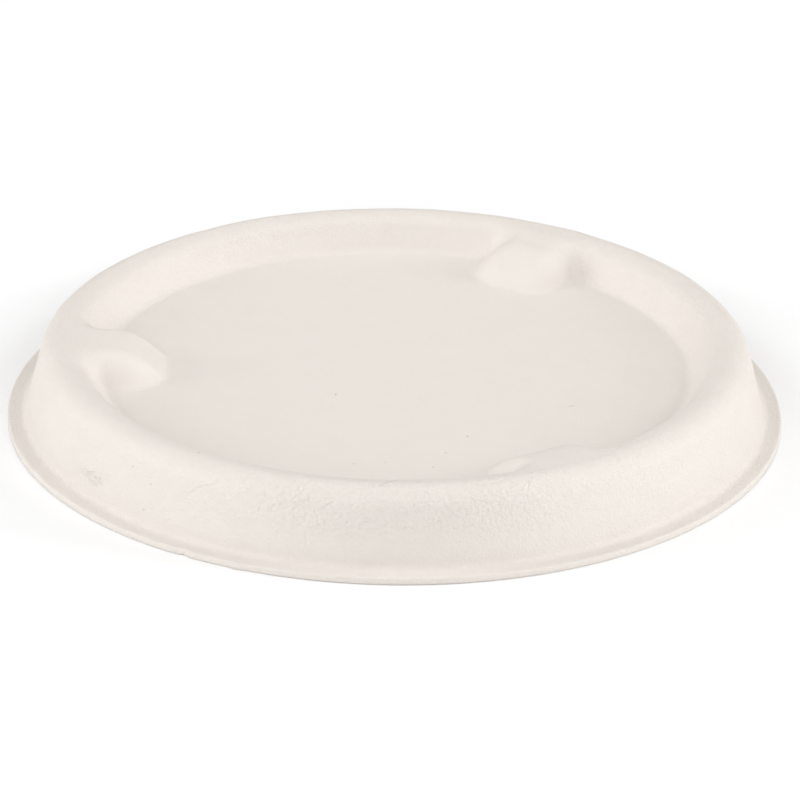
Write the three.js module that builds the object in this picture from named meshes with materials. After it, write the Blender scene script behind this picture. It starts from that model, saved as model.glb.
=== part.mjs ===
import * as THREE from 'three';
import { mergeVertices } from 'three/addons/utils/BufferGeometryUtils.js';

// A moulded pulp lid for a small sauce cup: one wall of even thickness that forms a flange, a skirt,
// a raised ring, three lugs and a sunken panel. Millimetres, +Z up. The origin is on the lid's axis,
// level with the flange's underside, which the lid rests on.

const radians = THREE.MathUtils.degToRad;

const wallThickness = 0.6;

// The trimmed flange. Its radius is that of the whole lid, and its width is measured to the skirt's foot.
const flangeRadius = 33;
const flangeWidth = 1.55;
const trimBend = 0.2;

// The skirt leans inward from the flange to the shoulder of the ring.
const skirtFootRadius = flangeRadius - flangeWidth;
const skirtFootBend = 0.6;
const skirtDraft = radians(13.7);

// The ring's crown is the lid's highest place. It slopes down from the shoulder to the crest, its inner edge.
const lidHeight = 6.9;
const shoulderBend = 1.9;
const crownSlope = radians(10);
const crestBend = 1.4;

// The sunken panel is flat, and a sloping wall climbs from its edge to the crest. The ring's width is
// measured from the skirt's foot to the panel's edge.
const ringWidth = 6.8;
const panelRadius = skirtFootRadius - ringWidth;
const panelHeight = 4.15;
const panelBend = 1;
const panelDraft = radians(36);

// Each lug is a rounded part of the ring that reaches inward over the panel. Its foot is a blunt nose on the
// panel, with a root bend where its sides meet the ring's wall. Its foot's reach is measured from the panel's
// edge, and its crest's reach from the ring's crest. The crest keeps its full reach over the flat share of the
// lug's width.
const lugCount = 3;
const lugAzimuth = radians(60);
const lugFootReach = 4.95;
const lugCrestReach = 4.1;
const lugCrestFlat = 0.25;
const lugFootWidth = 9.6;
const lugNoseBend = 3.5;
const lugRootBend = 1.1;
const lugTaper = radians(16);

// How finely the curves are divided.
const sectionSteps = { panel: 3, crest: 3, shoulder: 4, foot: 2, trim: 2 };
const outlineSteps = { root: 4, nose: 3, ring: 14 };

// The bend at a corner of the section. It turns left where the air is on its inside, and right where
// the wall is. The wall lies on the right of the way along the upper surface.
function bendAt(before, corner, after, radius, steps) {
  const inward = corner.clone().sub(before).normalize();
  const onward = after.clone().sub(corner).normalize();
  const turn = Math.atan2(inward.cross(onward), inward.dot(onward));
  const side = Math.sign(turn);
  const start = corner.clone().addScaledVector(inward, -radius * Math.tan(Math.abs(turn) / 2));
  const towardCentre = new THREE.Vector2(-inward.y, inward.x).multiplyScalar(side);
  const centre = start.clone().addScaledVector(towardCentre, radius);
  const startAngle = Math.atan2(-towardCentre.y, -towardCentre.x);
  return { centre, radius, side, startAngle, turn, steps };
}

// Points along a bend, moved by a depth into the wall.
function bendPoints({ centre, radius, side, startAngle, turn, steps }, depth) {
  const curve = new THREE.EllipseCurve(
    centre.x, centre.y,
    radius + side * depth, radius + side * depth,
    startAngle, startAngle + turn, turn < 0,
  );
  return curve.getPoints(steps);
}

// The corners of the upper surface, from the axis out to the rim.
function sectionCorners() {
  const panelTurn = Math.PI / 2 - panelDraft;
  const shoulderTurn = Math.PI / 2 - skirtDraft + crownSlope;
  const setback = shoulderBend * Math.tan(shoulderTurn / 2);
  const rounding = shoulderBend * (1 - Math.cos(crownSlope));
  const skirtTop = lidHeight + setback * Math.sin(crownSlope) - rounding;
  const skirtTopRadius = skirtFootRadius - (skirtTop - wallThickness) * Math.tan(skirtDraft);
  const wallFoot = panelRadius + panelBend * Math.tan(panelTurn / 2);
  const crownAboveWallFoot = skirtTop - (skirtTopRadius - wallFoot) * Math.tan(crownSlope) - panelHeight;
  const wallRise = crownAboveWallFoot / (1 - Math.tan(panelDraft) * Math.tan(crownSlope));
  return {
    axis: new THREE.Vector2(0, panelHeight),
    panel: new THREE.Vector2(wallFoot, panelHeight),
    crest: new THREE.Vector2(wallFoot + wallRise * Math.tan(panelDraft), panelHeight + wallRise),
    shoulder: new THREE.Vector2(skirtTopRadius, skirtTop),
    foot: new THREE.Vector2(skirtFootRadius, wallThickness),
    rimTop: new THREE.Vector2(flangeRadius, wallThickness),
    rimBase: new THREE.Vector2(flangeRadius, 0),
    flangeBase: new THREE.Vector2(skirtFootRadius, 0),
  };
}

// The closed section of the ring, from the axis along the underside to the rim and back over the top.
// The inner points, from the panel to the crest, follow the lugs. The others stay on circles.
function buildSection() {
  const at = sectionCorners();
  const steps = sectionSteps;
  const panel = bendAt(at.axis, at.panel, at.crest, panelBend, steps.panel);
  const crest = bendAt(at.panel, at.crest, at.shoulder, crestBend, steps.crest);
  const shoulder = bendAt(at.crest, at.shoulder, at.foot, shoulderBend, steps.shoulder);
  const foot = bendAt(at.shoulder, at.foot, at.rimTop, skirtFootBend, steps.foot);
  const trimTop = bendAt(at.foot, at.rimTop, at.rimBase, trimBend, steps.trim);
  const trimBase = bendAt(at.rimTop, at.rimBase, at.flangeBase, trimBend, steps.trim);
  const wallOf = (bends, depth) => bends.flatMap((bend) => bendPoints(bend, depth));
  const tag = (points, inner) => points.map((point) => ({ point, inner }));
  const onAxis = (height) => ({ point: new THREE.Vector2(0, height), inner: false });
  const rows = [
    onAxis(panelHeight - wallThickness),
    ...tag(wallOf([panel, crest], wallThickness), true),
    ...tag(wallOf([shoulder, foot], wallThickness), false),
    ...tag(wallOf([trimTop, trimBase], 0).reverse(), false),
    ...tag(wallOf([shoulder, foot], 0).reverse(), false),
    ...tag(wallOf([panel, crest], 0).reverse(), true),
    onAxis(panelHeight),
  ];
  return { rows, crestRadius: bendPoints(crest, 0).at(-1).x };
}

// Half of a lug's foot outline on the panel, from the ring's wall to the middle of its tip, in the lug's own
// frame: x across the lug and y outward along it.
function halfLugFoot() {
  const sideNormal = new THREE.Vector2(Math.cos(lugTaper), -Math.sin(lugTaper));
  const sideLine = new THREE.Vector2(Math.sin(lugTaper), Math.cos(lugTaper));
  const tipRadius = panelRadius - lugFootReach;
  const nose = new THREE.Vector2(lugFootWidth / 2 - lugNoseBend, tipRadius + lugNoseBend);
  const beside = nose.clone().addScaledVector(sideNormal, lugNoseBend + lugRootBend);
  const along = beside.dot(sideLine);
  const reach = Math.sqrt(along ** 2 - beside.lengthSq() + (panelRadius - lugRootBend) ** 2);
  const root = beside.clone().addScaledVector(sideLine, reach - along);
  const sideAngle = Math.PI - lugTaper;
  const rootCurve = new THREE.EllipseCurve(
    root.x, root.y, lugRootBend, lugRootBend, root.angle(), sideAngle,
  );
  const noseCurve = new THREE.EllipseCurve(
    nose.x, nose.y, lugNoseBend, lugNoseBend, -lugTaper, -Math.PI / 2, true,
  );
  return [
    ...rootCurve.getPoints(outlineSteps.root),
    ...noseCurve.getPoints(outlineSteps.nose),
    new THREE.Vector2(0, tipRadius),
  ];
}

// One lug's stations in order of angle. Each has a point of the foot, a point of the crest, and the angle
// that the rings outside the crest take there. The crest swells smoothly inward from the ring's own.
function lugStations(crestRadius) {
  const half = halfLugFoot();
  const mirrored = half.map((point) => new THREE.Vector2(-point.x, point.y)).reverse();
  const span = Math.PI / 2 - half[0].angle();
  const feet = [...half, ...mirrored.slice(1)];
  return feet.map((foot, i) => {
    const angle = THREE.MathUtils.lerp(-span, span, i / (feet.length - 1));
    const swell = THREE.MathUtils.smoothstep(1 - Math.abs(angle) / span, 0, 1 - lugCrestFlat);
    const crest = polar(crestRadius - lugCrestReach * swell, Math.PI / 2 + angle);
    return { foot, crest, angle };
  });
}

function polar(radius, angle) {
  return new THREE.Vector2(radius * Math.cos(angle), radius * Math.sin(angle));
}

// The whole way round the ring, lug by lug with the plain ring between them.
function buildStations(crestRadius) {
  const centre = new THREE.Vector2();
  const pitch = (2 * Math.PI) / lugCount;
  const lug = lugStations(crestRadius);
  const span = lug.at(-1).angle;
  const stations = [];
  for (let i = 0; i < lugCount; i += 1) {
    const azimuth = lugAzimuth + i * pitch;
    for (const { foot, crest, angle } of lug) {
      stations.push({
        foot: foot.clone().rotateAround(centre, azimuth - Math.PI / 2),
        crest: crest.clone().rotateAround(centre, azimuth - Math.PI / 2),
        angle: azimuth + angle,
      });
    }
    for (let k = 1; k < outlineSteps.ring; k += 1) {
      const angle = azimuth + span + (pitch - 2 * span) * (k / outlineSteps.ring);
      stations.push({ foot: polar(panelRadius, angle), crest: polar(crestRadius, angle), angle });
    }
  }
  return stations;
}

// The lathed ring, with the vertices of its inner rows moved to lie between the feet and the crests.
function buildLid() {
  const { rows, crestRadius } = buildSection();
  const stations = buildStations(crestRadius);
  const geometry = new THREE.LatheGeometry(rows.map((row) => row.point), stations.length);
  const position = geometry.getAttribute('position');
  for (let i = 0; i < position.count; i += 1) {
    const { point, inner } = rows[i % rows.length];
    const { foot, crest, angle } = stations[Math.floor(i / rows.length) % stations.length];
    const climb = (point.x - panelRadius) / (crestRadius - panelRadius);
    const place = inner ? foot.clone().lerp(crest, climb) : polar(point.x, angle);
    position.setXYZ(i, place.x, place.y, point.y);
  }
  geometry.deleteAttribute('normal');
  geometry.deleteAttribute('uv');
  const lid = mergeVertices(geometry);
  lid.computeVertexNormals();
  return lid;
}

const pulp = new THREE.MeshStandardMaterial({ color: 0xe9e3db, roughness: 0.9, metalness: 0 });
const lid = new THREE.Mesh(buildLid(), pulp);
lid.name = 'lid';

const part = new THREE.Group();
part.add(lid);

export default part;
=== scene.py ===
import math

import bmesh
import bpy
from mathutils import Matrix, Vector, noise


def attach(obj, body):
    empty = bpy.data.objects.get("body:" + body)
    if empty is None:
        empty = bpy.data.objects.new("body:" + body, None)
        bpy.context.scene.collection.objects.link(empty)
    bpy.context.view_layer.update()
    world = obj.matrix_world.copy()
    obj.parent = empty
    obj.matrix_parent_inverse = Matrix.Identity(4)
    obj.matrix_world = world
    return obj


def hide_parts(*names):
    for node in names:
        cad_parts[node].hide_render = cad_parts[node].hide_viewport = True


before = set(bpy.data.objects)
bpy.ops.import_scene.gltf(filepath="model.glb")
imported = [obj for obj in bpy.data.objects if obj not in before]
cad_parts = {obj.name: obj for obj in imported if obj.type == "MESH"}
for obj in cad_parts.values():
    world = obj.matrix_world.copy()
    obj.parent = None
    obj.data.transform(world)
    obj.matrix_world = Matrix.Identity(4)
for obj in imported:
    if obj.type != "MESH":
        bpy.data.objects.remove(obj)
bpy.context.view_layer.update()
mm = 0.001

# the camera is on the near side of the lid, a little to the left of -Y
photoView = {
    "distance": 500 * mm,
    "azimuth": -91.25,
    "elevation": 24.8,
    "roll": 0.78,
    "lens": 263.2,
    "sensorWidth": 36,
    "shift": (0.0068, 0.0165),
    "farClip": 20,
}

# round lights of one size and distance face the lid: metres, watts and degrees
studio = {
    "floorSize": 4.0,
    "floorColour": (0.88, 0.88, 0.88, 1),
    "skyColour": (1, 1, 1, 1),
    "skyStrength": 0.17,
    "lightReach": 0.9,
    "lightSize": 0.4,
    "lights": {
        "rightLow": {"azimuth": 0, "elevation": 14, "power": 3.65},
        "rightHigh": {"azimuth": 18, "elevation": 36, "power": 1.3},
        "leftLow": {"azimuth": 180, "elevation": 14, "power": 3.5},
        "leftHigh": {"azimuth": 170, "elevation": 40, "power": 1.4},
        "frontLow": {"azimuth": 270, "elevation": 14, "power": 2.2},
        "frontRightHigh": {"azimuth": 315, "elevation": 40, "power": 1.85},
        "frontLeftHigh": {"azimuth": 225, "elevation": 40, "power": 1.5},
        "backHigh": {"azimuth": 88, "elevation": 50, "power": 0.6},
        "top": {"azimuth": 80, "elevation": 85, "power": 2.0},
    },
}

# the upper surface as corners of radius and height in mm, with the radius of the bend at each one
lidSection = {
    "corners": {
        "axis": (0, 4.15),
        "lugZone": (19, 4.15),
        "panelEdge": (25.16, 4.15),
        "crest": (27.0, 6.68),
        "shoulder": (29.85, 7.18),
        "skirtFoot": (31.45, 0.6),
        "rim": (33, 0.6),
    },
    "bends": {"panelEdge": 1.0, "crest": 1.4, "shoulder": 1.9, "skirtFoot": 0.6},
    "bendSegments": {"panelEdge": 6, "crest": 8, "shoulder": 14, "skirtFoot": 5},
    "panelRowGap": 1.7,
    "fineRowGap": 0.26,
    "turnSteps": 432,
    "weldGap": 0.001,
    "wall": 0.6,
    "trimAngle": 70,
    "trimBevel": 0.12,
    "trimSegments": 2,
}

# the three rounded lugs in mm: their foot on the panel, and how far in from it they reach full height;
# no two of them came out of the mould quite alike
lugs = {
    "ringHeight": 2.75,
    "footBlend": 0.08,
    "each": [
        {"azimuth": 60, "height": 2.4, "footTip": 19.9, "noseRun": 4.6, "halfWidth": 4.5,
         "sideRun": 3.1, "fullness": 1.9},
        {"azimuth": 180, "height": 2.6, "footTip": 19.6, "noseRun": 4.8, "halfWidth": 4.8,
         "sideRun": 3.0, "fullness": 2.2},
        {"azimuth": 300, "height": 2.5, "footTip": 20.5, "noseRun": 5.0, "halfWidth": 4.8,
         "sideRun": 2.5, "fullness": 1.7},
    ],
}

# slow unevenness that the mould and the drying leave, in mm: how wide the change from the panel to the
# ring and from the skirt to the flange is, and the wavelength and height of each wave
unevenness = {
    "panelFade": 4,
    "flangeFade": 1,
    "panel": {"wavelength": 14, "height": 0.03, "seed": 3},
    "ringDown": {"wavelength": 5.5, "height": 0.045, "seed": 7},
    "ringOut": {"wavelength": 5.5, "height": 0.045, "seed": 11},
    "skirt": {"wavelength": 3.2, "height": 0.03, "seed": 13},
    "flange": {"wavelength": 12, "height": 0.02, "seed": 17},
}


def newObject(name, mesh):
    piece = bpy.data.objects.new(name, mesh)
    bpy.context.scene.collection.objects.link(piece)
    return piece


def onSphere(azimuth, elevation, reach):
    around, up = math.radians(azimuth), math.radians(elevation)
    flat = reach * math.cos(up)
    return Vector((flat * math.cos(around), flat * math.sin(around), reach * math.sin(up)))


def facingCentre(place):
    return (-place).to_track_quat("-Z", "Y").to_matrix().to_4x4()


def makeCamera():
    view = photoView
    camera = bpy.data.cameras.new("photoCamera")
    camera.lens = view["lens"]
    camera.sensor_width = view["sensorWidth"]
    camera.shift_x, camera.shift_y = view["shift"]
    camera.clip_end = view["farClip"]
    holder = newObject("photoCamera", camera)
    place = onSphere(view["azimuth"], view["elevation"], view["distance"])
    roll = Matrix.Rotation(math.radians(view["roll"]), 4, "Z")
    holder.matrix_world = Matrix.Translation(place) @ facingCentre(place) @ roll
    bpy.context.scene.camera = holder
    print("camera placed")


def makeStudio():
    scene = bpy.context.scene
    scene.view_settings.view_transform = "Standard"
    world = bpy.data.worlds.new("whiteTent")
    scene.world = world
    world.use_nodes = True
    sky = world.node_tree.nodes["Background"]
    sky.inputs["Color"].default_value = studio["skyColour"]
    sky.inputs["Strength"].default_value = studio["skyStrength"]

    bm = bmesh.new()
    bmesh.ops.create_grid(bm, x_segments=1, y_segments=1, size=studio["floorSize"] / 2)
    mesh = bpy.data.meshes.new("floor")
    bm.to_mesh(mesh)
    bm.free()
    floor = newObject("floor", mesh)
    floor.data.materials.append(makeFloorPaper())

    for name, box in studio["lights"].items():
        light = bpy.data.lights.new(name, "AREA")
        light.shape = "DISK"
        light.size = studio["lightSize"]
        light.energy = box["power"]
        place = onSphere(box["azimuth"], box["elevation"], studio["lightReach"])
        newObject(name, light).matrix_world = Matrix.Translation(place) @ facingCentre(place)
    print("floor and lights placed")


def makeFloorPaper():
    paper = bpy.data.materials.new("floorPaper")
    paper.use_nodes = True
    shader = paper.node_tree.nodes["Principled BSDF"]
    shader.inputs["Base Color"].default_value = studio["floorColour"]
    shader.inputs["Roughness"].default_value = 1
    shader.inputs["Specular IOR Level"].default_value = 0
    return paper


def drawSection(bm):
    section = lidSection
    corners = section["corners"]
    verts = {name: bm.verts.new((r * mm, 0, z * mm)) for name, (r, z) in corners.items()}
    chain = list(verts.values())
    places = [vert.co.copy() for vert in chain]
    for near, far in zip(chain, chain[1:]):
        bm.edges.new((near, far))

    # each corner is rounded by a bend of its own radius
    for i, name in enumerate(verts):
        if name in section["bends"]:
            turn = (places[i] - places[i - 1]).angle(places[i + 1] - places[i])
            setback = section["bends"][name] * mm * math.tan(turn / 2)
            bmesh.ops.bevel(bm, geom=[verts[name]], offset=setback, offset_type="OFFSET",
                            segments=section["bendSegments"][name], profile=0.5,
                            affect="VERTICES", material=-1, clamp_overlap=False)

    # the straight stretches get rows: a few on the panel, and close ones from the lugs outward
    for edge in bm.edges[:]:
        middle = (edge.verts[0].co.x + edge.verts[1].co.x) / 2
        inPanel = middle < corners["lugZone"][0] * mm
        gap = section["panelRowGap"] if inPanel else section["fineRowGap"]
        cuts = round(edge.calc_length() / (gap * mm)) - 1
        if cuts > 0:
            bmesh.ops.subdivide_edges(bm, edges=[edge], cuts=cuts)


def spinSection(bm):
    bmesh.ops.spin(bm, geom=bm.verts[:] + bm.edges[:], cent=(0, 0, 0), axis=(0, 0, 1),
                   angle=2 * math.pi, steps=lidSection["turnSteps"], use_merge=True)
    bmesh.ops.remove_doubles(bm, verts=bm.verts[:], dist=lidSection["weldGap"] * mm)
    bmesh.ops.recalc_face_normals(bm, faces=bm.faces[:])
    panelFace = min(bm.faces, key=lambda face: face.calc_center_median().xy.length)
    if panelFace.normal.z < 0:
        bmesh.ops.reverse_faces(bm, faces=bm.faces[:])


def smoothStep(value):
    value = min(max(value, 0), 1)
    return value * value * (3 - 2 * value)


def softRamp(value, blend):
    # nothing below zero and the value itself above it, with a small bend between them
    if value > blend:
        return value
    return max(value + blend, 0) ** 2 / (4 * blend)


def lugLift(place):
    # how high the nearest lug stands above the panel here, in mm
    lift = 0
    for lug in lugs["each"]:
        outward = onSphere(lug["azimuth"], 0, 1)
        along = place.dot(outward) / mm
        across = abs(place.x * outward.y - place.y * outward.x) / mm
        if along > 0:
            side = max(1 - (lug["halfWidth"] - across) / lug["sideRun"], 0)
            nose = max(1 - (along - lug["footTip"]) / lug["noseRun"], 0)
            climb = softRamp(1 - math.hypot(side, nose), lugs["footBlend"])
            lift = max(lift, lug["height"] * (1 - (1 - climb) ** lug["fullness"]))
    return lift


def raiseLugs(bm):
    # a lug melts into the ring: where the ring is at full height, it adds nothing
    corners = lidSection["corners"]
    panelHeight = corners["panelEdge"][1]
    crestReach, shoulderReach = corners["crest"][0], corners["shoulder"][0]
    for vert in bm.verts:
        ringLift = vert.co.z / mm - panelHeight
        pastCrest = (vert.co.xy.length / mm - crestReach) / (shoulderReach - crestReach)
        lift = lugLift(vert.co) * (1 - smoothStep(pastCrest))
        vert.co.z += (lift - ringLift * lift / lugs["ringHeight"]) * mm


# a nick and a burr on the trimmed rim, by azimuth and half-width in degrees and by outward push in mm
rimFlaws = [
    {"azimuth": -122.3, "halfWidth": 1.3, "push": -0.22},
    {"azimuth": -113.8, "halfWidth": 1.2, "push": 0.12},
]


def rimPush(place):
    push = 0
    for flaw in rimFlaws:
        away = math.degrees(place.angle(onSphere(flaw["azimuth"], 0, 1)))
        push += flaw["push"] * smoothStep(1 - away / flaw["halfWidth"])
    return push * mm


def wave(place, kind):
    swell = unevenness[kind]
    start = Vector([swell["seed"]] * 3)
    return noise.noise(place / (swell["wavelength"] * mm) + start) * swell["height"] * mm


def unevenSurface(bm):
    corners = lidSection["corners"]
    panelReach, footReach = corners["panelEdge"][0] * mm, corners["skirtFoot"][0] * mm
    panelFade, flangeFade = unevenness["panelFade"] * mm, unevenness["flangeFade"] * mm
    moves = {}
    for vert in bm.verts:
        reach = vert.co.xy.length
        outward = Vector((vert.co.x, vert.co.y, 0)).normalized()
        inPanel = 1 - smoothStep((reach - panelReach + panelFade) / panelFade)
        inFlange = smoothStep((reach - footReach) / flangeFade)
        inRing = 1 - inPanel - inFlange
        down = wave(vert.co, "panel") * inPanel + wave(vert.co, "ringDown") * inRing
        sideways = (wave(vert.co, "ringOut") + wave(vert.co, "skirt")) * inRing
        lifted = abs(wave(vert.co, "flange")) * inFlange
        if inFlange == 1:
            sideways += rimPush(outward)
        moves[vert] = Vector((0, 0, lifted + down - abs(down) * inRing)) + outward * sideways
    for vert, move in moves.items():
        vert.co += move


def giveWall(bm):
    section = lidSection
    bmesh.ops.solidify(bm, geom=bm.faces[:], thickness=section["wall"] * mm)
    bm.normal_update()
    sharp = math.radians(section["trimAngle"])
    sharpEdges = [edge for edge in bm.edges if edge.calc_face_angle(0) > sharp]
    bmesh.ops.bevel(bm, geom=sharpEdges, offset=section["trimBevel"] * mm, offset_type="OFFSET",
                    segments=section["trimSegments"], profile=0.5, affect="EDGES", material=-1)

    # the flange stands on the table and doesn't sink into it
    for vert in bm.verts:
        vert.co.z = max(vert.co.z, 0)


def makeLid():
    bm = bmesh.new()
    drawSection(bm)
    spinSection(bm)
    raiseLugs(bm)
    unevenSurface(bm)
    giveWall(bm)
    mesh = bpy.data.meshes.new("pulpLid")
    bm.to_mesh(mesh)
    bm.free()
    mesh.shade_smooth()
    lid = newObject("pulpLid", mesh)
    lid.data.materials.append(makePulp())
    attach(lid, "root")
    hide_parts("lid")
    print("lid modelled with", len(mesh.polygons), "faces")


# the pulp's finish: colours are linear, noise scales are per metre, and bump heights and places are in mm
pulpFinish = {
    "paleColour": (0.705, 0.662, 0.618, 1),
    # this warmer colour tints the slow random clouds of the pulp and also paints the shade in the groove
    # where the skirt meets the flange
    "warmToneAndShadeColour": (0.655, 0.603, 0.545, 1),
    "speckColour": (0.36, 0.31, 0.26, 1),
    "roughness": 0.78,
    "specular": 0.35,
    "mottle": {"scale": 420, "low": 0.38, "high": 0.68, "depth": 0.12},
    "fibreGrain": {"scale": 3900, "bump": 0.1, "onPanel": 0.3, "panelReach": 23.0, "ringReach": 28.5},
    "panelGrain": {"scale": 2300, "bump": 0.014},
    "orangePeel": {"scale": 2500, "bump": 0.19},
    "peelBand": {"low": 2.6, "full": 4.2, "innerReach": 27.2, "fullReach": 28.6, "sideFade": 17,
                 "sideFull": 8, "nearFade": -8.0, "nearFull": -18.0, "rest": 0.15},
    # painted shade: a browner tint in the crease where the skirt meets the flange, standing in for the
    # shade there
    "grooveShadeBand": {"inner": 31.1, "innerFade": 0.5, "outer": 31.7, "outerFade": 0.25, "top": 2.2,
                   "full": 0.8, "depth": 0.15},
    "markBump": 0.05,
    "markCore": 0.35,
}


class NodeDesk:
    # places and joins nodes, so that each step of the finish reads as one line
    def __init__(self, material):
        self.tree = material.node_tree

    def put(self, kind, values=None, **settings):
        node = self.tree.nodes.new(kind)
        for name, value in settings.items():
            setattr(node, name, value)
        for name, value in (values or {}).items():
            self.feed(node.inputs[name], value)
        return node

    def feed(self, socket, value):
        if isinstance(value, bpy.types.NodeSocket):
            self.tree.links.new(value, socket)
        else:
            socket.default_value = value

    def maths(self, operation, first, second=0.0):
        return self.put("ShaderNodeMath", {0: first, 1: second}, operation=operation).outputs[0]

    def ramp(self, value, low, high, lowOut=0.0, highOut=1.0):
        sockets = {"Value": value, "From Min": low, "From Max": high,
                   "To Min": lowOut, "To Max": highOut}
        return self.put("ShaderNodeMapRange", sockets, interpolation_type="SMOOTHSTEP").outputs[0]

    def noise(self, place, scale, detail=2.0, roughness=0.5, distortion=0.0):
        sockets = {"Vector": place, "Scale": scale, "Detail": detail,
                   "Roughness": roughness, "Distortion": distortion}
        return self.put("ShaderNodeTexNoise", sockets).outputs["Fac"]

    def blend(self, amount, first, second):
        node = self.put("ShaderNodeMix", data_type="RGBA")
        self.feed(node.inputs[0], amount)
        self.feed(node.inputs[6], first)
        self.feed(node.inputs[7], second)
        return node.outputs[2]

    def bump(self, height):
        # the height is in mm
        sockets = {"Height": height, "Distance": mm, "Strength": 1.0}
        return self.put("ShaderNodeBump", sockets).outputs["Normal"]

    def spot(self, place, mark):
        # an egg-shaped patch, 1 in its middle and 0 outside, turned about Z
        centre, size, turn = mark["centre"], mark["size"], math.radians(mark.get("turn", 0))
        local = self.put("ShaderNodeMapping", {
            "Vector": place,
            "Location": [value * mm for value in centre],
            "Rotation": (0, 0, turn),
            "Scale": [value * mm for value in size],
        }, vector_type="TEXTURE").outputs[0]
        away = self.put("ShaderNodeVectorMath", {0: local}, operation="LENGTH").outputs["Value"]
        return self.ramp(away, 1.0, mark.get("core", pulpFinish["markCore"]))


def makePulp():
    finish = pulpFinish
    pulp = bpy.data.materials.new("mouldedPulp")
    pulp.use_nodes = True
    desk = NodeDesk(pulp)
    shader = pulp.node_tree.nodes["Principled BSDF"]
    place = desk.put("ShaderNodeTexCoord").outputs["Object"]

    # a point's place along each axis and how far it is from the lid's own axis, in mm
    scaled = desk.put("ShaderNodeVectorMath", {0: place, 1: (1 / mm,) * 3}, operation="MULTIPLY")
    parts = desk.put("ShaderNodeSeparateXYZ", {0: scaled.outputs[0]}).outputs
    squares = desk.maths("ADD", desk.maths("POWER", parts["X"], 2.0), desk.maths("POWER", parts["Y"], 2.0))
    reach = desk.maths("SQRT", squares)

    # the wrinkled skin of the shoulder and upper skirt is strongest on the near side
    band = finish["peelBand"]
    high = desk.ramp(parts["Z"], band["low"], band["full"])
    outside = desk.ramp(reach, band["innerReach"], band["fullReach"])
    aside = desk.maths("ABSOLUTE", parts["X"])
    nearMiddle = desk.ramp(aside, band["sideFade"], band["sideFull"], band["rest"])
    nearSide = desk.ramp(parts["Y"], band["nearFade"], band["nearFull"], band["rest"])
    peelAmount = desk.maths("MULTIPLY", desk.maths("MULTIPLY", high, outside),
                            desk.maths("MINIMUM", nearMiddle, nearSide))

    # painted shade: the groove where the skirt meets the flange is tinted browner to stand in for the
    # shade in that crease; the pulp is also browner in slow random clouds
    groove = finish["grooveShadeBand"]
    pastFoot = desk.ramp(reach, groove["inner"], groove["inner"] + groove["innerFade"])
    beforeRim = desk.ramp(reach, groove["outer"] + groove["outerFade"], groove["outer"])
    low = desk.ramp(parts["Z"], groove["top"], groove["full"])
    grooveShade = desk.maths("MULTIPLY", desk.maths("MULTIPLY", pastFoot, beforeRim), low)
    clouds = finish["mottle"]
    mottle = desk.ramp(desk.noise(place, clouds["scale"], detail=3.0), clouds["low"], clouds["high"],
                       0.0, clouds["depth"])
    mottleAndGrooveShade = desk.maths("MAXIMUM", mottle, desk.maths("MULTIPLY", grooveShade, groove["depth"]))
    colour = desk.blend(mottleAndGrooveShade, finish["paleColour"], finish["warmToneAndShadeColour"])

    # the pressed panel is smoother than the ring and the skirt
    hairs = finish["fibreGrain"]
    roughening = desk.ramp(reach, hairs["panelReach"], hairs["ringReach"], hairs["onPanel"])
    fibre = desk.noise(place, hairs["scale"], detail=3.0, roughness=0.6, distortion=0.8)
    fibre = desk.maths("MULTIPLY", fibre, roughening)
    grain = desk.noise(place, finish["panelGrain"]["scale"], detail=2.0, roughness=0.5, distortion=1.5)
    peel = desk.noise(place, finish["orangePeel"]["scale"], detail=2.0, roughness=0.5, distortion=0.4)
    peel = desk.maths("MULTIPLY", peel, peelAmount)
    height = desk.maths("MULTIPLY", grain, finish["panelGrain"]["bump"])
    height = desk.maths("ADD", height, desk.maths("MULTIPLY", fibre, hairs["bump"]))
    height = desk.maths("ADD", height, desk.maths("MULTIPLY", peel, finish["orangePeel"]["bump"]))

    # all the blemishes add up to one darkening and one relief
    pits = desk.noise(place, scuff["scale"], detail=2.0, roughness=0.6)
    pits = desk.ramp(pits, scuff["pitLow"], scuff["pitHigh"])
    scuffed = desk.maths("MULTIPLY", pits, desk.spot(place, scuff))
    dark = desk.maths("MULTIPLY", scuffed, scuff["tone"])
    relief = desk.maths("MULTIPLY", scuffed, scuff["bump"])
    for mark in marks:
        spot = desk.spot(place, mark)
        dark = desk.maths("ADD", dark, desk.maths("MULTIPLY", spot, mark["tone"]))
        if mark["bump"]:
            relief = desk.maths("ADD", relief, desk.maths("MULTIPLY", spot, mark["bump"]))
    colour = desk.blend(dark, colour, finish["speckColour"])
    height = desk.maths("ADD", height, desk.maths("MULTIPLY", relief, finish["markBump"]))

    desk.feed(shader.inputs["Base Color"], colour)
    desk.feed(shader.inputs["Normal"], desk.bump(height))
    shader.inputs["Roughness"].default_value = finish["roughness"]
    shader.inputs["Specular IOR Level"].default_value = finish["specular"]
    print("pulp finish made with", len(marks), "marks")
    return pulp


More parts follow.
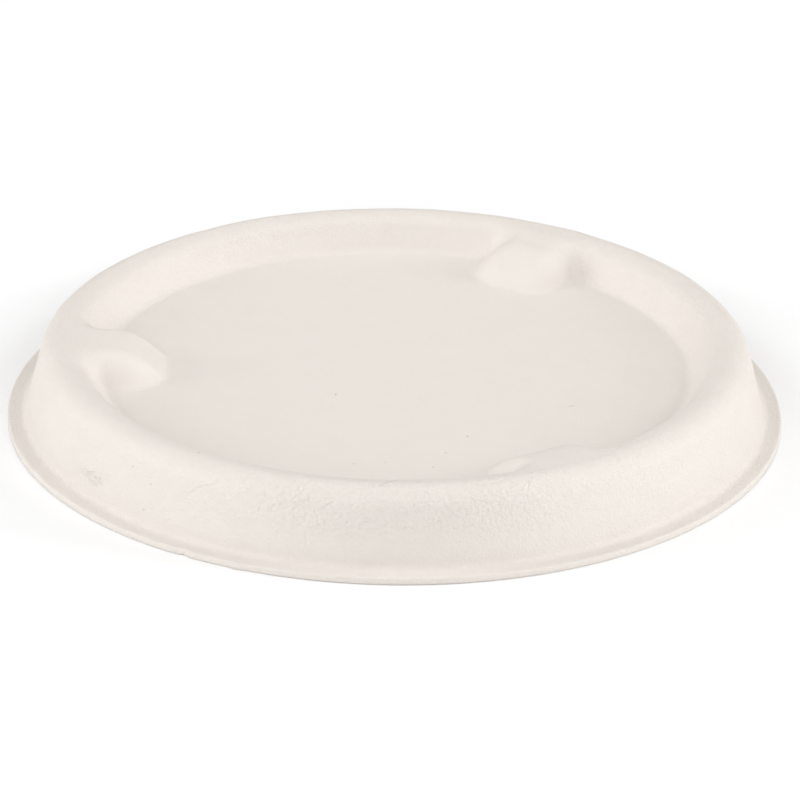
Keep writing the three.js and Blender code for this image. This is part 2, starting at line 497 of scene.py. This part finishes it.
# small blemishes in mm: dark specks and fibres on the panel, crown and skirt, then dents and strokes
specks = [
    {"centre": (-5.1, -5.3, 4.15), "size": (0.13, 0.26, 0.3), "tone": 0.5, "bump": 0},
    {"centre": (14.7, -7.4, 4.15), "size": (0.45, 0.12, 0.3), "turn": 15, "tone": 0.4, "bump": 0},
    {"centre": (5.8, -13.5, 4.15), "size": (0.15, 0.26, 0.3), "tone": 0.42, "bump": 0},
    {"centre": (2.8, -19.5, 4.15), "size": (0.12, 0.22, 0.3), "tone": 0.35, "bump": 0},
    {"centre": (3.9, -16.7, 4.15), "size": (0.22, 0.15, 0.3), "turn": 30, "tone": 0.35, "bump": 0},
    {"centre": (-3.7, -18.9, 4.15), "size": (0.12, 0.2, 0.3), "tone": 0.3, "bump": 0},
    {"centre": (-1.1, -18.6, 4.15), "size": (0.12, 0.2, 0.3), "tone": 0.3, "bump": 0},
    {"centre": (-16.4, -22.6, 6.84), "size": (0.14, 0.25, 0.3), "tone": 0.45, "bump": 0},
    {"centre": (-20.9, -23.1, 1.9), "size": (0.16, 0.16, 0.14), "tone": 0.4, "bump": 0},
    {"centre": (-21.8, -21.2, 4.9), "size": (0.13, 0.13, 0.13), "tone": 0.35, "bump": 0},
    {"centre": (-20.3, -22.9, 4.1), "size": (0.13, 0.13, 0.13), "tone": 0.35, "bump": 0},
    {"centre": (28.2, -11.0, 5.3), "size": (0.13, 0.13, 0.13), "tone": 0.35, "bump": 0},
    {"centre": (-9.9, -29.3, 2.8), "size": (0.35, 0.35, 0.7), "tone": 0.01, "bump": -0.9, "core": 0},
    {"centre": (-7.6, -30.0, 2.8), "size": (0.3, 0.35, 1.0), "tone": 0.01, "bump": -0.9, "core": 0},
]

# strokes are rows of small beads between two places
strokes = [
    {"from": (-1.7, -28.8, 6.83), "to": (-0.3, -27.6, 6.8), "beads": 9,
     "size": 0.16, "tone": 0.2, "bump": 0.8},
    {"from": (-17.4, -25.2, 4.1), "to": (-16.5, -25.5, 4.9), "beads": 6,
     "size": 0.2, "tone": 0.02, "bump": -0.6},
    {"from": (-16.3, -25.6, 5.1), "to": (-15.1, -26.1, 5.6), "beads": 6,
     "size": 0.2, "tone": 0.02, "bump": -0.6},
]

# a scuffed, speckled patch on the left of the skirt
scuff = {"centre": (-25.3, -17.9, 2.35), "size": (0.7, 2.6, 1.0), "turn": 35, "scale": 2800,
         "pitLow": 0.48, "pitHigh": 0.62, "bump": -1.2, "tone": 0.1}


def strokeBeads(stroke):
    start, end = Vector(stroke["from"]), Vector(stroke["to"])
    for i in range(stroke["beads"]):
        centre = start.lerp(end, i / (stroke["beads"] - 1))
        yield {"centre": centre, "size": [stroke["size"]] * 3,
               "tone": stroke["tone"], "bump": stroke["bump"]}


marks = specks + [bead for stroke in strokes for bead in strokeBeads(stroke)]


makeCamera()
makeStudio()
makeLid()
